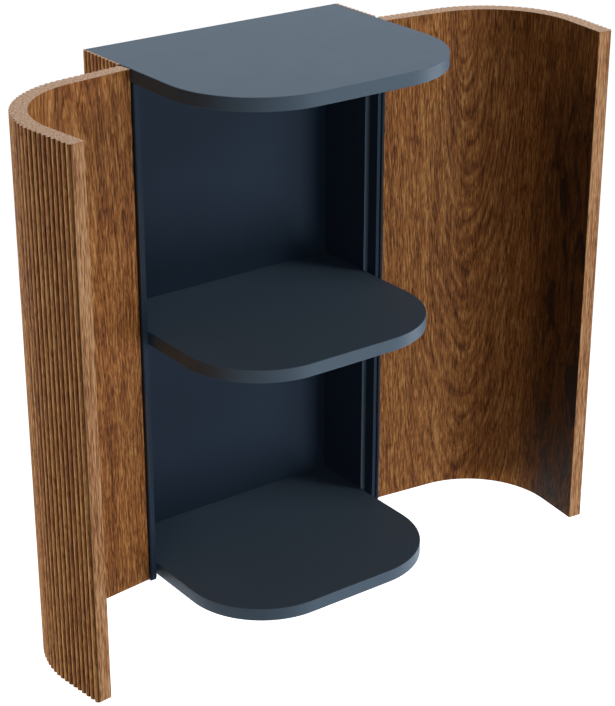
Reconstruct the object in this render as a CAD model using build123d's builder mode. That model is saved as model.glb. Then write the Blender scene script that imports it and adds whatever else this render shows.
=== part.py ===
# Wall-hung cabinet with two curved, reeded oak doors that wrap round its front corners.
# Millimetres. The origin is midway between the two wall screws, on the wall plane.
# X runs across the front, the front faces -Y and +Z is up. The doors are modelled open, as in use.

import os
from math import cos, pi, radians, sin

from build123d import *

os.makedirs("parts", exist_ok=True)

# Carcass
board_thickness = 18.0
carcass_height = 732.0
top_half_width = 200.0
top_depth = 330.0
top_corner_radius = 130.0
shelf_setback = 20.0
shelf_corner_radius = 116.0
shelf_surface_height = 369.0
side_panel_thickness = 18.0
side_panel_depth = 95.0
back_panel_thickness = 3.0
back_rebate_width = 10.0
back_panel_fit = 0.3
board_arris = 0.5
housing_depth = 6.0
housing_stop = 10.0
housing_fit = 0.1

# Wall fixing
rail_height = 60.0
rail_thickness = 16.0
wall_screw_drop = 48.0
wall_screw_spacing = 300.0
wall_screw_radius = 3.0

# Reeded oak
reed_pitch_wanted = 9.0
reed_height = 3.3
reed_groove = 0.6
cladding_backing = 0.8
cladding_depth = 88.5
cladding_bottom_gap = 1.0

# Curved doors
door_thickness = 18.5
door_inner_radius = 122.6
door_to_top_gap = 0.7
door_bottom_gap = 3.0
door_top_gap = 0.7
finger_slot = 20.0
door_open_angle = 83.2
door_arris = 0.6

# Hinge post and continuous hinge
hinge_line_depth = 114.1
knuckle_radius = 2.4
knuckle_inset = 0.5
knuckle_gap = 0.4
knuckle_count = 5
leaf_thickness = 1.2
door_leaf_width = 16.5
pin_radius = 1.2
pin_running_clearance = 0.05
hinge_bottom = 4.0
hinge_top_gap = 1.0
post_inner_step = 7.6
post_to_door_gap = 0.8

# Heights, measured from the wall screws
top_surface = wall_screw_drop
underside = top_surface - carcass_height
top_underside = top_surface - board_thickness
bottom_surface = underside + board_thickness
shelf_surface = underside + shelf_surface_height
shelf_underside = shelf_surface - board_thickness
door_bottom = underside + door_bottom_gap
door_top = top_surface - door_top_gap

# Widths and depths that follow from the sizes above
inner_half_width = top_half_width - side_panel_thickness
shelf_depth = top_depth - shelf_setback
door_inner_half = top_half_width + door_to_top_gap
door_inner_front = top_depth + door_to_top_gap
hinge_offset = knuckle_radius + knuckle_inset
hinge_half = door_inner_half - hinge_offset
hinge_low = underside + hinge_bottom
hinge_high = top_underside - hinge_top_gap
knuckle_pitch = (hinge_high - hinge_low) / knuckle_count
post_inner = inner_half_width + post_inner_step
post_outer = hinge_half + post_to_door_gap
post_front = hinge_line_depth - knuckle_radius
cladding_face = top_half_width + cladding_backing
tongue_front = side_panel_depth - housing_stop
side_panel_top = top_underside + housing_depth
sides = ((-1, "left"), (1, "right"))

# The closed door in plan, measured from the hinge line: u outwards, v forwards
inner_front_v = door_inner_front - hinge_line_depth
bend_centre_u = hinge_offset - door_inner_radius
bend_centre_v = inner_front_v - door_inner_radius
free_end_u = finger_slot / 2 - hinge_half


def finish(builder, name):
    """Label a finished piece and write its file."""
    builder.part.label = name
    export_step(builder.part, f"parts/{name}.step")


def drawn_board(half_width, rear, depth, corner_radius):
    """Draw a board's outline: a rectangle whose two front corners are rounded."""
    with Locations((0, -(rear + depth) / 2)):
        Rectangle(2 * half_width, depth - rear)
    fillet(vertices().group_by(Axis.Y)[0], corner_radius)


def eased(builder):
    """Take the sharp arris off a board's upper and lower outline."""
    flat_faces = builder.faces().filter_by(Axis.Z)
    outline = flat_faces.sort_by(Axis.Z)[0].outer_wire().edges()
    outline += flat_faces.sort_by(Axis.Z)[-1].outer_wire().edges()
    chamfer(outline, board_arris)


def add_reeds(edge_at, run, count):
    """Draw a row of reeds: one arc per reed, with a narrow flat between neighbours.

    edge_at(distance, height) gives the point at a distance along the row and a height above it.
    """
    pitch = run / count
    Line(edge_at(0, 0), edge_at(reed_groove / 2, 0))
    for index in range(count):
        start = index * pitch + reed_groove / 2
        end = (index + 1) * pitch - reed_groove / 2
        ThreePointArc(edge_at(start, 0), edge_at((start + end) / 2, reed_height), edge_at(end, 0))
        if index < count - 1:
            Line(edge_at(end, 0), edge_at(end + reed_groove, 0))
    Line(edge_at(run - reed_groove / 2, 0), edge_at(run, 0))


def hinge_plane(side, height, angle=0.0):
    """Give the level plane on the hinge line, turned outwards by an angle with the door."""
    turn = radians(side * angle)
    return Plane(
        origin=(side * hinge_half, -hinge_line_depth, height),
        x_dir=(cos(turn), sin(turn), 0),
        z_dir=(0, 0, 1),
    )


def door_edge_point(side, distance, height):
    """Give a point of the door's outer outline, from the hinge end round to the free end."""
    bend_radius = door_inner_radius + door_thickness
    flat = bend_centre_v - knuckle_radius
    bend = bend_radius * pi / 2
    if distance < flat:
        across, forward = hinge_offset + door_thickness + height, knuckle_radius + distance
    elif distance < flat + bend:
        angle = (distance - flat) / bend_radius
        across = bend_centre_u + (bend_radius + height) * cos(angle)
        forward = bend_centre_v + (bend_radius + height) * sin(angle)
    else:
        across = bend_centre_u - (distance - flat - bend)
        forward = bend_centre_v + bend_radius + height
    return (side * across, -forward)


def knuckle_spans(first):
    """Give the lower end and length of every second knuckle of a hinge."""
    return [
        (hinge_low + index * knuckle_pitch + knuckle_gap / 2, knuckle_pitch - knuckle_gap)
        for index in range(first, knuckle_count, 2)
    ]


# Top board, rebated at its sides for the side panels
with BuildPart() as top_board:
    with BuildSketch(Plane.XY.offset(top_underside)):
        drawn_board(top_half_width, 0, top_depth, top_corner_radius)
    extrude(amount=board_thickness)
    eased(top_board)
    with BuildSketch(Plane.XY.offset(top_underside)):
        for side, _ in sides:
            with Locations((side * (inner_half_width + top_half_width) / 2, -side_panel_depth / 2)):
                Rectangle(side_panel_thickness, side_panel_depth)
    extrude(amount=housing_depth, mode=Mode.SUBTRACT)
finish(top_board, "top_board")

# Middle shelf and bottom board, whose tongues are housed in the side panels
for name, surface in (("middle_shelf", shelf_surface), ("bottom_board", bottom_surface)):
    with BuildPart() as shelf:
        with BuildSketch(Plane.XY.offset(surface - board_thickness)):
            drawn_board(inner_half_width, back_panel_thickness, shelf_depth, shelf_corner_radius)
        extrude(amount=board_thickness)
        eased(shelf)
        with BuildSketch(Plane.XY.offset(surface - board_thickness)):
            with Locations((0, -(back_panel_thickness + tongue_front) / 2)):
                Rectangle(2 * (inner_half_width + housing_depth), tongue_front - back_panel_thickness)
        extrude(amount=board_thickness)
    finish(shelf, name)

# Side panels, rebated at the rear for the back panel and grooved for the boards' tongues
for side, side_name in sides:
    with BuildPart() as side_panel:
        with BuildSketch(Plane.XY.offset(underside)):
            with BuildLine():
                Polyline(
                    (side * inner_half_width, -side_panel_depth),
                    (side * top_half_width, -side_panel_depth),
                    (side * top_half_width, 0),
                    (side * (inner_half_width + back_rebate_width), 0),
                    (side * (inner_half_width + back_rebate_width), -back_panel_thickness),
                    (side * inner_half_width, -back_panel_thickness),
                    close=True,
                )
            make_face()
        extrude(amount=side_panel_top - underside)
        for surface in (shelf_surface, bottom_surface):
            groove_front = tongue_front + housing_fit
            groove_middle = side * (inner_half_width + (housing_depth + housing_fit) / 2)
            with BuildSketch(Plane.XY.offset(surface - board_thickness)):
                with Locations((groove_middle, -(back_panel_thickness + groove_front) / 2)):
                    Rectangle(housing_depth + housing_fit, groove_front - back_panel_thickness)
            extrude(amount=board_thickness + housing_fit, mode=Mode.SUBTRACT)
    finish(side_panel, f"{side_name}_side_panel")

# Reeded oak cladding on the fixed part of each side
for side, side_name in sides:
    cladding_plane = Plane.XY.offset(underside + cladding_bottom_gap)
    with BuildPart() as cladding:
        with BuildSketch(cladding_plane):
            with BuildLine():
                add_reeds(
                    lambda distance, height: (side * (cladding_face + height), -distance),
                    cladding_depth,
                    round(cladding_depth / reed_pitch_wanted),
                )
                Polyline(
                    (side * cladding_face, -cladding_depth),
                    (side * top_half_width, -cladding_depth),
                    (side * top_half_width, 0),
                    (side * cladding_face, 0),
                )
            make_face()
        extrude(amount=top_surface - underside - cladding_bottom_gap)
    finish(cladding, f"{side_name}_side_cladding")

# Back panel, let into the rebates of the side panels behind the boards
with BuildPart() as back_panel:
    with BuildSketch(Plane.XZ):
        with Locations((0, (underside + top_underside) / 2)):
            Rectangle(
                2 * (inner_half_width + back_rebate_width - back_panel_fit),
                top_underside - underside - 2 * back_panel_fit,
            )
        with Locations((-wall_screw_spacing / 2, 0), (wall_screw_spacing / 2, 0)):
            Circle(wall_screw_radius, mode=Mode.SUBTRACT)
    extrude(amount=back_panel_thickness)
finish(back_panel, "back_panel")

# Hanging rail under the top board, through which the cabinet is screwed to the wall
with BuildPart() as hanging_rail:
    with BuildSketch(Plane.XZ.offset(back_panel_thickness)):
        with Locations((0, top_underside - rail_height / 2)):
            Rectangle(2 * inner_half_width, rail_height)
        with Locations((-wall_screw_spacing / 2, 0), (wall_screw_spacing / 2, 0)):
            Circle(wall_screw_radius, mode=Mode.SUBTRACT)
    extrude(amount=rail_thickness)
finish(hanging_rail, "hanging_rail")

# Hinge posts, glued to the front edges of the side panels
for side, side_name in sides:
    with BuildPart() as hinge_post:
        with BuildSketch(Plane.XY.offset(underside)):
            with Locations((side * (post_inner + post_outer) / 2, -(side_panel_depth + post_front) / 2)):
                Rectangle(post_outer - post_inner, post_front - side_panel_depth)
        extrude(amount=top_underside - underside)
    finish(hinge_post, f"{side_name}_hinge_post")

# Doors: a flat side, a quarter bend and a short front, with reeds all round the outside
for side, side_name in sides:
    door_run = (bend_centre_v - knuckle_radius) + (door_inner_radius + door_thickness) * pi / 2
    door_run += bend_centre_u - free_end_u
    with BuildPart() as door:
        with BuildSketch(hinge_plane(side, door_bottom, door_open_angle)):
            with BuildLine():
                add_reeds(
                    lambda distance, height: door_edge_point(side, distance, height),
                    door_run,
                    round(door_run / reed_pitch_wanted),
                )
                Polyline(
                    door_edge_point(side, door_run, 0),
                    (side * free_end_u, -inner_front_v),
                    (side * bend_centre_u, -inner_front_v),
                )
                bend_middle = door_inner_radius * sin(pi / 4)
                ThreePointArc(
                    (side * bend_centre_u, -inner_front_v),
                    (side * (bend_centre_u + bend_middle), -(bend_centre_v + bend_middle)),
                    (side * hinge_offset, -bend_centre_v),
                )
                Polyline(
                    (side * hinge_offset, -bend_centre_v),
                    (side * hinge_offset, -knuckle_radius),
                    door_edge_point(side, 0, 0),
                )
            make_face()
            inner_corners = [(side * free_end_u, -inner_front_v), (side * hinge_offset, -knuckle_radius)]
            for corner in inner_corners:
                chamfer(vertices().sort_by_distance(corner)[0], door_arris)
        extrude(amount=door_top - door_bottom)
    finish(door, f"{side_name}_door")

# Continuous hinges: two leaves with interleaved knuckles on one long pin
for side, side_name in sides:
    leaves = (
        ("frame_leaf", 0.0, 0, -1, hinge_half - post_inner),
        ("door_leaf", door_open_angle, 1, 1, door_leaf_width),
    )
    for leaf_name, angle, first, way, width in leaves:
        with BuildPart() as leaf:
            leaf_middle = -way * (knuckle_radius - leaf_thickness / 2)
            plate_start = knuckle_radius + knuckle_gap
            with BuildSketch(hinge_plane(side, hinge_low, angle)):
                with Locations((side * way * (plate_start + width) / 2, leaf_middle)):
                    Rectangle(width - plate_start, leaf_thickness)
            extrude(amount=hinge_high - hinge_low)
            for low, length in knuckle_spans(first):
                with BuildSketch(hinge_plane(side, low, angle)):
                    Circle(knuckle_radius)
                    with Locations((side * way * plate_start / 2, leaf_middle)):
                        Rectangle(plate_start, leaf_thickness)
                extrude(amount=length)
            with BuildSketch(hinge_plane(side, hinge_low, angle)):
                Circle(pin_radius + pin_running_clearance)
            extrude(amount=hinge_high - hinge_low, mode=Mode.SUBTRACT)
        finish(leaf, f"{side_name}_{leaf_name}")

    with BuildPart() as hinge_pin:
        with BuildSketch(hinge_plane(side, hinge_low)):
            Circle(pin_radius)
        extrude(amount=hinge_high - hinge_low)
    finish(hinge_pin, f"{side_name}_hinge_pin")
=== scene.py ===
# %% [markdown]
# # A wall cabinet with two curved, reeded oak doors
#
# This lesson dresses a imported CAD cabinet. The shapes come from the CAD and stay as they are.
# Nearly all the work is in the materials: a matte slate-blue lacquer, and dark oak whose grain
# has to follow a board that is bent round a quarter circle.
#
# Lengths are in metres, in the CAD's frame: the origin is on the wall, midway between the two
# wall screws, X runs to the right, the front faces -Y and Z is up.

# %% Load the frame
from functools import partial
from math import cos, pi, radians, sin

import bpy
import numpy as np
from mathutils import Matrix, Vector


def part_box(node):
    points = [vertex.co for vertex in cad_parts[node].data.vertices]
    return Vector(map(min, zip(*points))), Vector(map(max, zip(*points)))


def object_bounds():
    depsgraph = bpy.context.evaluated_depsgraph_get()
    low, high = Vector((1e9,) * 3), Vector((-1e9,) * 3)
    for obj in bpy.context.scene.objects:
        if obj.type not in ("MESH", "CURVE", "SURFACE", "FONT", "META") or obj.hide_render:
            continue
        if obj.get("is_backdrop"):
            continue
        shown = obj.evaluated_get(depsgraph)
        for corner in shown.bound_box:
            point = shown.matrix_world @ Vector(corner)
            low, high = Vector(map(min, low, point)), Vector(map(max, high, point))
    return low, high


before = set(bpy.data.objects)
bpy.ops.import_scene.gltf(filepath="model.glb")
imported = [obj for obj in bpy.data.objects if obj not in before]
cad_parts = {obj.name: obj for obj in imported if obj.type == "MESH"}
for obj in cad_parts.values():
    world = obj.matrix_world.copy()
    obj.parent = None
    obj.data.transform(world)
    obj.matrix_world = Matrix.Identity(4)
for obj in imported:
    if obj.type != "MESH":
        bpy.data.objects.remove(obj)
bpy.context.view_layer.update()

# %% [markdown]
# ## The sizes that the materials need
#
# The oak's grain follows the door's own outline. Seen from above, a closed door is a flat side,
# a quarter bend and a short front. It is drawn in its own plan coordinates, measured from the
# hinge line: u points outwards and v points forwards. The doors stand open by 83.2 degrees here,
# so the materials turn their coordinates back by that angle.

# %% Sizes of the door's outline
MM = 0.001
HINGE_X, HINGE_Y = 197.8 * MM, -114.1 * MM    # the right hinge line in plan; the left is its mirror
OPEN_ANGLE = radians(83.2)
DOOR_THICKNESS = 18.5 * MM
INNER_RADIUS = 122.6 * MM
INNER_SIDE_U = 2.9 * MM                       # inner face of the side
INNER_FRONT_Y = -330.7 * MM                   # inner face of the front, when the door is closed
KNUCKLE = 2.4 * MM                            # radius of the hinge, where the door's side begins
FREE_END_U = -187.8 * MM

OUTER_RADIUS = INNER_RADIUS + DOOR_THICKNESS  # the surface that the reeds stand on
BEND_U = INNER_SIDE_U - INNER_RADIUS          # centre of the quarter bend
BEND_V = HINGE_Y - INNER_FRONT_Y - INNER_RADIUS
RUN = (BEND_V - KNUCKLE) + OUTER_RADIUS * pi / 2 + (BEND_U - FREE_END_U)
DOOR_REEDS = round(RUN / (9.0 * MM))          # as near to 9 mm each as goes round evenly
REED_PITCH = RUN / DOOR_REEDS
CLADDING_FACE = 200.8 * MM                    # where the reeds of the fixed sides stand
CLADDING_PITCH = 88.5 * MM / 10
print(f"door outline {1000 * RUN:.1f} mm round, {DOOR_REEDS} reeds of {1000 * REED_PITCH:.2f} mm")

# %% [markdown]
# ## The helpers
#
# Colours are read off a picture as sRGB hex and turned into the linear values that Blender mixes.
# `add` makes one shader node, sets its sockets, and links any socket that is given an output.
# Noise is set by how wide its features are on the real thing: `every(3)` is one each 3 mm.
# The background should be white wherever it is seen, also in a reflection, but it should not
# light the cabinet. `background_rays` picks out the rays that see it.

# %% Colour, node and scale helpers
def linear(hex_code):
    """sRGB '#rrggbb' to linear RGBA: c/12.92 below 0.04045, else ((c+0.055)/1.055)^2.4."""
    out = []
    for i in (1, 3, 5):
        c = int(hex_code[i:i + 2], 16) / 255
        out.append(c / 12.92 if c <= 0.04045 else ((c + 0.055) / 1.055) ** 2.4)
    return (*out, 1.0)


def every(width):
    """Features per metre for features that are width millimetres apart."""
    return 1000.0 / width


def add(tree, kind, sockets, out=0, stops=(), **settings):
    """Add a shader node and return one of its outputs, or the node itself if it has none.

    sockets is a tuple in socket order, where None is skipped, or a dict by name or number.
    stops are a colour ramp's (place, hex) pairs, and settings are the node's own properties.
    """
    node = tree.nodes.new("ShaderNode" + kind)
    for name, value in settings.items():
        setattr(node, name, value)
    for number, (place, hex_code) in enumerate(stops):
        band = node.color_ramp.elements
        mark = band[number] if number < len(band) else band.new(place)
        mark.position, mark.color = place, linear(hex_code)
    pairs = sockets.items() if isinstance(sockets, dict) else enumerate(sockets)
    for name, value in pairs:
        if isinstance(value, bpy.types.NodeSocket):
            tree.links.new(value, node.inputs[name])
        elif value is not None:
            node.inputs[name].default_value = value
    return node.outputs[out] if len(node.outputs) else node


def new_material(name):
    """An empty material, with its tree's own `add`."""
    material = bpy.data.materials.new(name)
    material.use_nodes = True
    material.node_tree.nodes.clear()
    return material, partial(add, material.node_tree)


def background_rays(node):
    """1 for rays that should find the background: from the camera, or off metal and glass."""
    camera, glossy, sent_on = (node("LightPath", (), out=f"Is {kind} Ray")
                               for kind in ("Camera", "Glossy", "Transmission"))
    bounced = node("Math", (glossy, sent_on), operation="MAXIMUM")
    return node("Math", (camera, bounced), operation="MAXIMUM")


print("linear mid grey:", [round(c, 3) for c in linear("#808080")])

# %% [markdown]
# ## Slate-blue lacquer
#
# The boards are fibreboard, sprayed with matte polyurethane lacquer. Sprayed lacquer dries with
# a faint orange peel, waves about 2 mm wide and a few hundredths of a millimetre high, so its
# highlights break up a little. The pigment is even, with a drift of one or two percent in depth
# over a hand's width. A plain colour would look like plastic, so both are drawn. The back and
# the sides are drawn in a deeper tone of the same lacquer, which is painted shade that makes the
# inside look so dark, but the sides' front edges are as pale as the boards.

# %% The lacquer
# the second blue is a darker copy of the first: painted shade for the back and the sides
BOARD_BLUE, PAINTED_SHADE_BLUE = "#596B7C", "#2D3C4E"
BOARD_ROUGHNESS, PANEL_ROUGHNESS = 0.48, 0.62
LACQUER_GLOSS = 0.10                          # the matting agent takes most of the mirror shine
DRIFT = 0.015                                 # how far the pigment's depth drifts either way


def slate_lacquer(name, colour, roughness, edge=None):
    """Matte lacquer: even pigment, slow drift and fine orange peel, and paler beyond y = edge."""
    material, node = new_material(name)
    place = node("TexCoord", (), out="Object")
    drift = node("TexNoise", {"Vector": place, "Scale": every(110), "Detail": 3.0})
    deep = (*((1 - DRIFT) * c for c in linear(colour)[:3]), 1.0)
    pale = (*((1 + DRIFT) * c for c in linear(colour)[:3]), 1.0)
    amount = node("MapRange", (drift, 0.3, 0.7), interpolation_type="SMOOTHSTEP")
    base = node("Mix", {0: amount, 6: deep, 7: pale}, out=2, data_type="RGBA")
    if edge is not None:
        forward = node("SeparateXYZ", (place,), out=1)
        on_edge = node("MapRange", (forward, edge + 0.4 * MM, edge + 0.1 * MM))
        base = node("Mix", {0: on_edge, 6: base, 7: linear(BOARD_BLUE)}, out=2, data_type="RGBA")
    peel = node("TexNoise", {"Vector": place, "Scale": every(2.1), "Detail": 2.0, "Roughness": 0.4})
    grit = node("TexNoise", {"Vector": place, "Scale": every(0.4), "Detail": 1.0})
    relief = node("Math", (grit, 0.25, peel), operation="MULTIPLY_ADD")
    normal = node("Bump", {"Height": relief, "Strength": 0.10, "Distance": 0.0003})
    worn = node("TexNoise", {"Vector": place, "Scale": every(33), "Detail": 4.0})
    rough = node("MapRange", (worn, 0.3, 0.7, roughness - 0.01, roughness + 0.02))
    shader = node("BsdfPrincipled", {"Base Color": base, "Roughness": rough, "Normal": normal,
                                     "IOR": 1.49, "Specular IOR Level": LACQUER_GLOSS})
    node("OutputMaterial", (shader,))
    return material


front_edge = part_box("left_side_panel")[0].y
board_lacquer = slate_lacquer("slate_blue_lacquer", BOARD_BLUE, BOARD_ROUGHNESS)
painted_shade_lacquer = slate_lacquer("slate_blue_lacquer_painted_shade", PAINTED_SHADE_BLUE, PANEL_ROUGHNESS)
side_lacquer_with_painted_shade = slate_lacquer("side_slate_blue_lacquer_painted_shade", PAINTED_SHADE_BLUE, PANEL_ROUGHNESS, front_edge)
print("lacquer nodes:", len(board_lacquer.node_tree.nodes))

# %% [markdown]
# ## Coordinates that follow the bend
#
# Bent veneer keeps its grain upright all the way round, so the grain can't be drawn in x and y.
# A point is turned back into the closed door's plan, and then measured along the outline: a
# distance s round the door, and a height h above the surface that the reeds stand on. One
# formula gives both, because the outline is all that lies at one distance from a corner: with
# a = max(u - BEND_U, 0) and b = max(v - BEND_V, 0), h is sqrt(a^2 + b^2) - OUTER_RADIUS, and
# the angle round the bend is atan2(b, a).

# %% Door and cladding coordinates
def door_coordinates(node, side):
    """Distance round a door's outline, height above its outer surface, and z, all in metres."""
    place = node("TexCoord", (), out="Object")
    c, s = cos(OPEN_ANGLE), sin(OPEN_ANGLE)
    along_u = node("VectorMath", (place, (side * c, s, 0)), out=1, operation="DOT_PRODUCT")
    along_v = node("VectorMath", (place, (side * s, -c, 0)), out=1, operation="DOT_PRODUCT")
    u = node("Math", (along_u, HINGE_X * c + HINGE_Y * s), operation="SUBTRACT")
    v = node("Math", (along_v, HINGE_Y * c - HINGE_X * s), operation="ADD")
    past_u = node("Math", (u, BEND_U), operation="SUBTRACT")
    past_v = node("Math", (v, BEND_V), operation="SUBTRACT")
    a = node("Math", (past_u, 1e-5), operation="MAXIMUM")
    b = node("Math", (past_v, 0.0), operation="MAXIMUM")
    reach = node("VectorMath", (node("CombineXYZ", (a, b, 0.0)),), out=1, operation="LENGTH")
    h = node("Math", (reach, OUTER_RADIUS), operation="SUBTRACT")
    on_side = node("Math", (v, BEND_V), operation="MINIMUM")
    flat = node("Math", (on_side, KNUCKLE), operation="SUBTRACT")
    angle = node("Math", (b, a), operation="ARCTAN2")
    bend = node("Math", (angle, OUTER_RADIUS, flat), operation="MULTIPLY_ADD")
    past_bend = node("Math", (BEND_U, u), operation="SUBTRACT")
    front = node("Math", (past_bend, 0.0), operation="MAXIMUM")
    round_door = node("Math", (bend, front), operation="ADD")
    return round_door, h, node("SeparateXYZ", (place,), out=2)


def cladding_coordinates(node, side):
    """The same three values for the flat cladding on the cabinet's fixed sides."""
    place = node("TexCoord", (), out="Object")
    out_x = node("VectorMath", (place, (side, 0, 0)), out=1, operation="DOT_PRODUCT")
    depth = node("VectorMath", (place, (0, -1, 0)), out=1, operation="DOT_PRODUCT")
    h = node("Math", (out_x, CLADDING_FACE), operation="SUBTRACT")
    return depth, h, node("SeparateXYZ", (place,), out=2)


print("the grain is drawn in s, h and z, so it runs up the door and round the bend")

# %% [markdown]
# ## The oak
#
# Smoked and oiled oak, planed and then moulded into reeds outside. What the eye reads as oak:
#
# * growth rings: a flat-sawn board cuts the trunk's cones, so a ring is a level line of
#   r = sqrt(c^2 + d^2), where c is the distance from the arch's middle and d grows with the
#   distance from the cones' point. With the point above a door the arches hang, with the point
#   below it they stand;
# * fibre: it runs with the rings, so inside the doors it is drawn along the same level lines.
#   Its finest streaks, and the pores, which are 0.3 mm wide on the real wood, are too fine for
#   the picture. They are drawn 2 to 3 mm wide, and the pores are pressed into the surface;
# * reeds: each is its own lath with its own tone, and the grooves are darkened with painted shade;
# * cut ends: paler and speckled at the top and bottom, pale and grained on the upright end;
# * on one door, the dark and swirling heart of the log runs down near the free end, under a broad
#   darkening there that is partly the heart and partly painted shade.
#
# The bands, the fibre and the hair streaks add up to one tone, and a ramp turns it into colour.

# %% The oak
OAK_TONES = [(0.35, "#5A3010"), (0.45, "#8B5529"), (0.55, "#B2743D"), (0.64, "#D29C5C")]
SANDED_TONES = [(0.42, "#744524"), (0.49, "#A06C41"), (0.56, "#BB885B"), (0.63, "#D4A67A")]
END_TONES = [(0.36, "#A27C62"), (0.50, "#D0A98C"), (0.64, "#EBCDB2")]
BAND_SHARE, FIBRE_SHARE, HAIR_SHARE = 0.22, 0.42, 0.48
RING_SHARE, LATH_SHARE = -0.40, 0.07          # late wood is darker; laths differ a little
TONE_SHIFT = -0.015                           # brings the mean back to the middle of the ramp
PORE_INK = 0.48                               # how dark a pore is, 0 to 1
RING_WIDTH = 5.5 * MM
SWAY = 50 * MM                                # how far the arches' middle wanders
LATH_SHIFT = 3.0                              # metres into the noise, so no two reeds match
# the next value paints a highlight on the upright cut end, paler towards its inner arris
PAINTED_HIGHLIGHT_INWARDS = -3.0                          # change of tone for each metre of h


def dark_oak(name, coordinates, side, pitch, seed, z_top, z_bottom, arch, heart=0.0):
    """Oiled oak: fibre, pores, ring arches, per-reed tones, painted shade in the grooves and pale
    cut ends.

    arch is the arches' middle round the door and the height of the cones' point, both in metres,
    and how fast the cones widen. heart is where the dark heart is deepest, measured round the door.
    """
    material, node = new_material(name)
    s, h, z = coordinates(node, side)
    on_reeds = node("MapRange", (h, -0.4 * MM, 0.2 * MM))
    on_inside = node("MapRange", (h, -DOOR_THICKNESS + 0.6 * MM, -DOOR_THICKNESS + 0.2 * MM))

    # one number per reed gives it a tone and its own piece of wood
    reed = node("Math", (node("Math", (s, pitch), operation="DIVIDE"),), operation="FLOOR")
    numbered = node("Math", (reed, seed), operation="ADD")
    lot = node("TexWhiteNoise", {"W": numbered}, noise_dimensions="1D")
    lath = node("Math", (lot, on_reeds), operation="MULTIPLY")
    shift = node("Math", (lath, LATH_SHIFT, h), operation="MULTIPLY_ADD")

    # a flat-sawn board cuts the trunk's cones: c is across them and d down them
    middle, point, slope = arch
    straight = node("CombineXYZ", (s, shift, node("Math", (z, 5.0), operation="DIVIDE")))
    sway = node("TexNoise", {"Vector": straight, "Scale": every(90), "Detail": 2.0})
    swayed = node("Math", (sway, SWAY, s), operation="MULTIPLY_ADD")
    c = node("Math", (swayed, middle + SWAY / 2), operation="SUBTRACT")
    from_point = node("Math", (point, z), operation="SUBTRACT")
    d = node("Math", (from_point, slope, 6 * MM), operation="MULTIPLY_ADD")
    radius = node("VectorMath", (node("CombineXYZ", (c, d, 0.0)),), out=1, operation="LENGTH")

    # inside, the fibre follows the rings; the flank keeps the arches' two sides from matching
    turn = node("Math", (radius, s), operation="SUBTRACT")
    turned = node("Math", (turn, on_inside, s), operation="MULTIPLY_ADD")
    flank = node("Math", (c, on_inside), operation="MULTIPLY")
    flank = node("Math", (flank, 0.10, shift), operation="MULTIPLY_ADD")

    def along(length, across=s, beside=shift):
        """Across the grain, h and a squeezed z: features are length times longer than wide."""
        return node("CombineXYZ", (across, beside, node("Math", (z, length), operation="DIVIDE")))

    band = node("TexNoise", {"Vector": along(16), "Scale": every(16), "Detail": 3.0})
    fibre = node("TexNoise", {"Vector": along(26, turned, flank), "Scale": every(2.2),
                              "Detail": 2.0})
    hair = node("TexNoise", {"Vector": along(12), "Scale": every(1.2), "Detail": 1.0})

    # growth rings
    ragged = node("TexNoise", {"Vector": along(9), "Scale": every(16), "Detail": 4.0})
    count = node("Math", (radius, 1 / RING_WIDTH, ragged), operation="MULTIPLY_ADD")
    ring = node("Math", (count,), operation="FRACT")
    late = node("MapRange", (ring, 0.35, 0.95), interpolation_type="SMOOTHSTEP")
    off_middle = node("Math", (c,), operation="ABSOLUTE")
    near = node("MapRange", (off_middle, 75 * MM, 20 * MM, 0.02, 0.14),
                interpolation_type="SMOOTHSTEP")
    seen_rings = node("Math", (near, on_inside), operation="MULTIPLY")
    ringed = node("Math", (late, seen_rings), operation="MULTIPLY")

    # tone: 0.5 is the middle of the wood's range
    tone = node("Math", (band, BAND_SHARE), operation="MULTIPLY")
    lath_tone = node("Math", (lath, 0.5), operation="SUBTRACT")
    for part, share in ((fibre, FIBRE_SHARE), (hair, HAIR_SHARE), (ringed, RING_SHARE),
                        (lath_tone, LATH_SHARE)):
        tone = node("Math", (part, share, tone), operation="MULTIPLY_ADD")
    tone = node("Math", (tone, TONE_SHIFT), operation="ADD")
    wood = node("ValToRGB", (tone,), stops=OAK_TONES)

    pore_noise = node("TexNoise", {"Vector": along(7), "Scale": every(1.2), "Detail": 0.5})
    pores = node("MapRange", (pore_noise, 0.58, 0.68))
    inked = node("Math", (pores, PORE_INK), operation="MULTIPLY")
    wood = node("Mix", {0: inked, 6: wood, 7: linear("#2A1103")}, out=2, data_type="RGBA")

    # the heart of the log, darker towards the bottom: a broad dark band that is partly the heart
    # and partly painted shade, with swirls
    if heart:
        swirl = node("TexNoise", {"Vector": along(4), "Scale": every(26), "Detail": 5.0,
                                  "Roughness": 0.62, "Distortion": 1.6})
        heart_and_shade_band = node("MapRange", (s, heart - 0.14, heart - 0.05), interpolation_type="SMOOTHSTEP")
        deeper_down = node("MapRange", (z, 0.03, -0.12, 0.35, 1.0))
        heart_and_shade_band = node("Math", (heart_and_shade_band, deeper_down), operation="MULTIPLY")
        heart_and_shade_band = node("Math", (heart_and_shade_band, on_inside), operation="MULTIPLY")
        heart_and_painted_shade = node("Math", (heart_and_shade_band, 0.78), operation="MULTIPLY")
        wood = node("Mix", {0: heart_and_painted_shade, 6: wood, 7: linear("#341604")}, out=2, data_type="RGBA")
        depth = node("MapRange", (swirl, 0.45, 0.58, 0.0, 0.93))
        stain = node("Math", (heart_and_shade_band, depth), operation="MULTIPLY")
        wood = node("Mix", {0: stain, 6: wood, 7: linear("#0F0602")}, out=2, data_type="RGBA")

    # painted shade: darker down in the grooves
    groove = node("MapRange", (h, 2.5 * MM, 0.6 * MM, 0.0, 0.88), interpolation_type="SMOOTHSTEP")
    painted_groove_shade = node("Math", (groove, on_reeds), operation="MULTIPLY")
    wood = node("Mix", {0: painted_groove_shade, 6: wood, 7: linear("#2A1204")}, out=2, data_type="RGBA")

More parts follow.
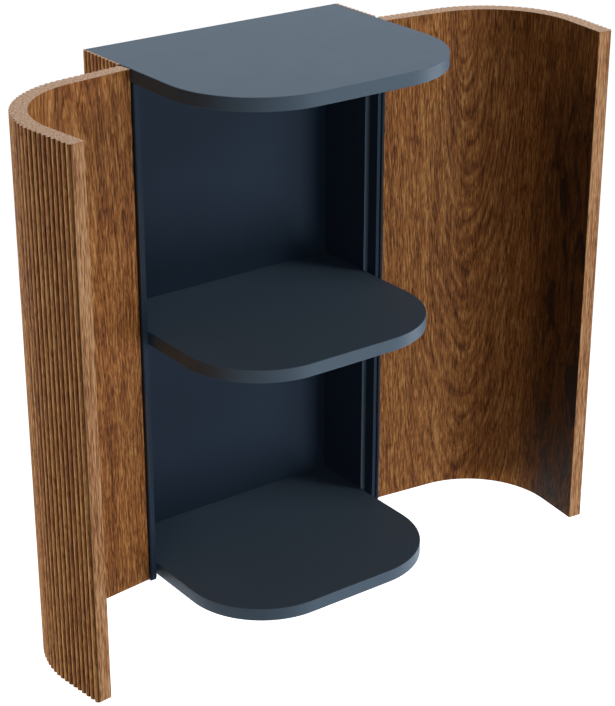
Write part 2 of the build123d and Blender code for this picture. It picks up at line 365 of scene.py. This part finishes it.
    # the upright cut end, paler from sanding, with a painted highlight that makes it palest at the
    # arris inside
    fresh = node("MapRange", (s, RUN - 0.9 * MM, RUN - 0.4 * MM))
    below = node("MapRange", (h, 0.6 * MM, -0.4 * MM))
    faced = node("Math", (fresh, below), operation="MULTIPLY")
    sanding_and_painted_highlight = node("Math", (h, PAINTED_HIGHLIGHT_INWARDS, tone), operation="MULTIPLY_ADD")
    pale = node("ValToRGB", (sanding_and_painted_highlight,), stops=SANDED_TONES)
    wood = node("Mix", {0: faced, 6: wood, 7: pale}, out=2, data_type="RGBA")

    # the cut ends at the top and bottom, speckled with the pores' round mouths
    top = node("MapRange", (z, z_top - 0.4 * MM, z_top - 0.1 * MM))
    low = node("MapRange", (z, z_bottom + 0.4 * MM, z_bottom + 0.1 * MM))
    across = node("CombineXYZ", (s, h, 0.0))
    speckle = node("TexNoise", {"Vector": across, "Scale": every(3.0), "Detail": 3.0,
                                "Roughness": 0.7})
    end_wood = node("ValToRGB", (speckle,), stops=END_TONES)
    ends = node("Math", (top, low), operation="MAXIMUM")
    colour = node("Mix", {0: ends, 6: wood, 7: end_wood}, out=2, data_type="RGBA")

    height = node("Math", (pores, -0.9, fibre), operation="MULTIPLY_ADD")
    normal = node("Bump", {"Height": height, "Strength": 0.15, "Distance": 0.0004})
    rough = node("MapRange", (pores, 0.0, 1.0, 0.56, 0.80))
    shader = node("BsdfPrincipled", {"Base Color": colour, "Roughness": rough, "Normal": normal,
                                     "IOR": 1.5, "Specular IOR Level": 0.13})
    node("OutputMaterial", (shader,))
    return material


# the door's side, its arch, and its heart; the seeds keep doors and fixed sides apart
oak = {}
GRAIN = {"left": (-1, (0.100, -0.80, 0.08), 0.0), "right": (1, (0.145, 0.10, 0.14), 0.372)}
for word, (side, arch, heart) in GRAIN.items():
    low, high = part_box(f"{word}_door")
    oak[f"{word}_door"] = dark_oak(f"dark_oak_{word}_door", door_coordinates, side, REED_PITCH,
                                   10 + side, high.z, low.z, arch, heart)
    low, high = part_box(f"{word}_side_cladding")
    oak[f"{word}_side_cladding"] = dark_oak(f"dark_oak_{word}_side", cladding_coordinates, side,
                                            CLADDING_PITCH, 20 + side, high.z, low.z, arch)
print("oak materials:", sorted(m.name for m in oak.values()))

# %% [markdown]
# ## Black hinge steel
#
# The hinges are rolled steel strip with a black plated finish. Rolling leaves fine lines along
# the strip, and the plating keeps them, so a highlight stretches across the lines. They are
# drawn 0.2 mm apart, which shows only close up.

# %% The hinge steel
def black_steel(name):
    """Black plated steel with fine vertical rolling lines."""
    material, node = new_material(name)
    place = node("TexCoord", (), out="Object")
    squeezed = node("VectorMath", (place, (1, 1, 0.02)), operation="MULTIPLY")
    lines = node("TexNoise", {"Vector": squeezed, "Scale": every(0.2), "Detail": 2.0})
    rough = node("MapRange", (lines, 0.3, 0.7, 0.55, 0.68))
    normal = node("Bump", {"Height": lines, "Strength": 0.2, "Distance": 0.00005})
    amount = node("MapRange", (lines, 0.3, 0.7))
    base = node("Mix", {0: amount, 6: linear("#15191E"), 7: linear("#1E242B")}, out=2,
                data_type="RGBA")
    shader = node("BsdfPrincipled", {"Base Color": base, "Roughness": rough, "Normal": normal,
                                     "Metallic": 0.3, "Specular IOR Level": 0.35})
    node("OutputMaterial", (shader,))
    return material


hinge_steel = black_steel("black_hinge_steel")
print("hinge steel nodes:", len(hinge_steel.node_tree.nodes))

# %% [markdown]
# ## Dressing the CAD nodes
#
# A material goes on an object's material slots, and the mesh underneath stays as it came. The
# doors' hinge leaves and the pins are steel, the doors and the cladding are oak, and the three
# boards are in the paler lacquer. All the rest is in the deeper one, and so are the leaves on the
# frame, which are painted with it: the photo shows a thin blue line there.

# %% Dress the nodes
def finish_of(name):
    """The material that a CAD node is made of."""
    if name in oak:
        return oak[name]
    if "door_leaf" in name or "pin" in name:
        return hinge_steel
    # the side panels get painted shade with front edges as pale as the boards; all the rest, the
    # frame's leaves too, is in the deeper lacquer, which is painted shade
    if "side_panel" in name:
        return side_lacquer_with_painted_shade
    return board_lacquer if "board" in name or "shelf" in name else painted_shade_lacquer


for name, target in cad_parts.items():
    if not target.material_slots:
        target.data.materials.append(finish_of(name))
    for slot in target.material_slots:
        slot.material = finish_of(name)
print("dressed:", len(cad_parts), "nodes")

# %% [markdown]
# ## The floor
#
# The cabinet hangs with its underside 1.2 m above a plain pale floor. Where the floor is looked
# at, also in a reflection, it glows white, so that it meets the white background without a line.
# For the light it is dull grey, so that it throws little back at the cabinet.

# %% Floor
FLOOR_Z = -0.684 - 1.2


def grid_floor(name, half, height, cells=8):
    """A flat square of cells x cells quads: x and y run over linspace(-half, half)."""
    line = np.linspace(-half, half, cells + 1)
    gx, gy = np.meshgrid(line, line, indexing="ij")
    points = np.stack([gx, gy, np.full_like(gx, height)], -1).reshape(-1, 3)
    index = np.arange((cells + 1) ** 2).reshape(cells + 1, cells + 1)
    corners = [index[:-1, :-1], index[1:, :-1], index[1:, 1:], index[:-1, 1:]]
    quads = np.stack(corners, -1).reshape(-1, 4)
    mesh = bpy.data.meshes.new(name)
    mesh.from_pydata(points.tolist(), [], quads.tolist())
    piece = bpy.data.objects.new(name, mesh)
    bpy.context.scene.collection.objects.link(piece)
    return piece


floor = grid_floor("studio_floor", 30.0, FLOOR_Z)
floor_paint, node = new_material("white_studio_floor")
place = node("TexCoord", (), out="Object")
cloudy = node("TexNoise", {"Vector": place, "Scale": every(330), "Detail": 3.0})
tint = node("Mix", {0: cloudy, 6: linear("#F8F8F8"), 7: linear("#FCFCFC")}, out=2, data_type="RGBA")
seen = background_rays(node)
dull = node("BsdfDiffuse", {"Color": linear("#7A7A7A")})
paint = node("BsdfDiffuse", {"Color": tint})
glow = node("Emission", {"Color": (1, 1, 1, 1), "Strength": 1.0})
white = node("AddShader", (paint, glow))
node("OutputMaterial", (node("MixShader", (seen, dull, white)),))
floor.data.materials.append(floor_paint)
floor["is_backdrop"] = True
print("floor at z =", FLOOR_Z, "m")

# %% [markdown]
# ## Light and camera
#
# A soft box above and behind lights the top and leaves the shelves in the top's own shade. Low
# boxes to the front and to the right light the oak inside the doors and the boards' right
# edges, a high one at the front lifts the fronts, a weak one fills the left, and one on the
# left grazes the reeds. The world is white only where it is looked at, also in a reflection.

# %% World, lights and camera
SENSOR = 36.0                                 # mm
FOCAL_PIXELS, PHOTO_HEIGHT = 1944.1, 706.0    # solved from the photo's straight edges
CAMERA_DOWN, CAMERA_TURN = 24.165, 36.272     # degrees below the horizon and to the right

world = bpy.data.worlds.new("studio_world")
bpy.context.scene.world = world
world.use_nodes = True
world.node_tree.nodes.clear()
node = partial(add, world.node_tree)
seen = background_rays(node)
strength = node("MapRange", {"Value": seen, "To Min": 0.02, "To Max": 1.0})
node("OutputWorld", (node("Background", {"Color": (1, 1, 1, 1), "Strength": strength}),))


def soft_box(name, place, aim, size, power):
    """A square area light at a place, aimed at a point."""
    light = bpy.data.lights.new(name, "AREA")
    light.shape, light.size, light.energy = "SQUARE", size, power
    lamp = bpy.data.objects.new(name, light)
    bpy.context.scene.collection.objects.link(lamp)
    lamp.location = place
    lamp.rotation_euler = (Vector(aim) - Vector(place)).to_track_quat("-Z", "Y").to_euler()
    return lamp


AIM = (0.0, -0.17, -0.3)
BOXES = {                                     # place and size in metres, power in watts
    "top_box": ((0.0, 0.6, 2.5), 0.7, 34),
    "right_box": ((2.80, -0.92, -1.08), 1.0, 38),
    "front_box": ((0.99, -2.89, -1.08), 1.0, 30),
    "high_box": ((1.74, -1.91, 1.42), 1.0, 22),
    "left_box": ((-2.56, 1.31, -0.82), 1.0, 48),
    "fill_box": ((-1.26, -2.88, -0.04), 1.0, 7),
}
for name, (place, size, power) in BOXES.items():
    soft_box(name, place, AIM, size, power)

camera_data = bpy.data.cameras.new("camera")
camera_data.sensor_width = SENSOR
camera_data.lens = FOCAL_PIXELS * SENSOR / PHOTO_HEIGHT
camera = bpy.data.objects.new("camera", camera_data)
bpy.context.scene.collection.objects.link(camera)
camera.location = (-1.4039, -2.1216, 0.7098)
camera.rotation_euler = (radians(90 - CAMERA_DOWN), 0, radians(-CAMERA_TURN))
bpy.context.scene.camera = camera
bpy.context.scene.view_settings.view_transform = "Standard"
print("camera lens:", round(camera_data.lens, 2), "mm")

# %% [markdown]
# ## Printing the sizes
#
# The dressed cabinet has to stay inside the CAD's box, so its box is printed.

# %% Sizes and finish
low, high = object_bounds()
print("visual box in mm:", [round(1000 * v, 1) for v in (*low, *high)])
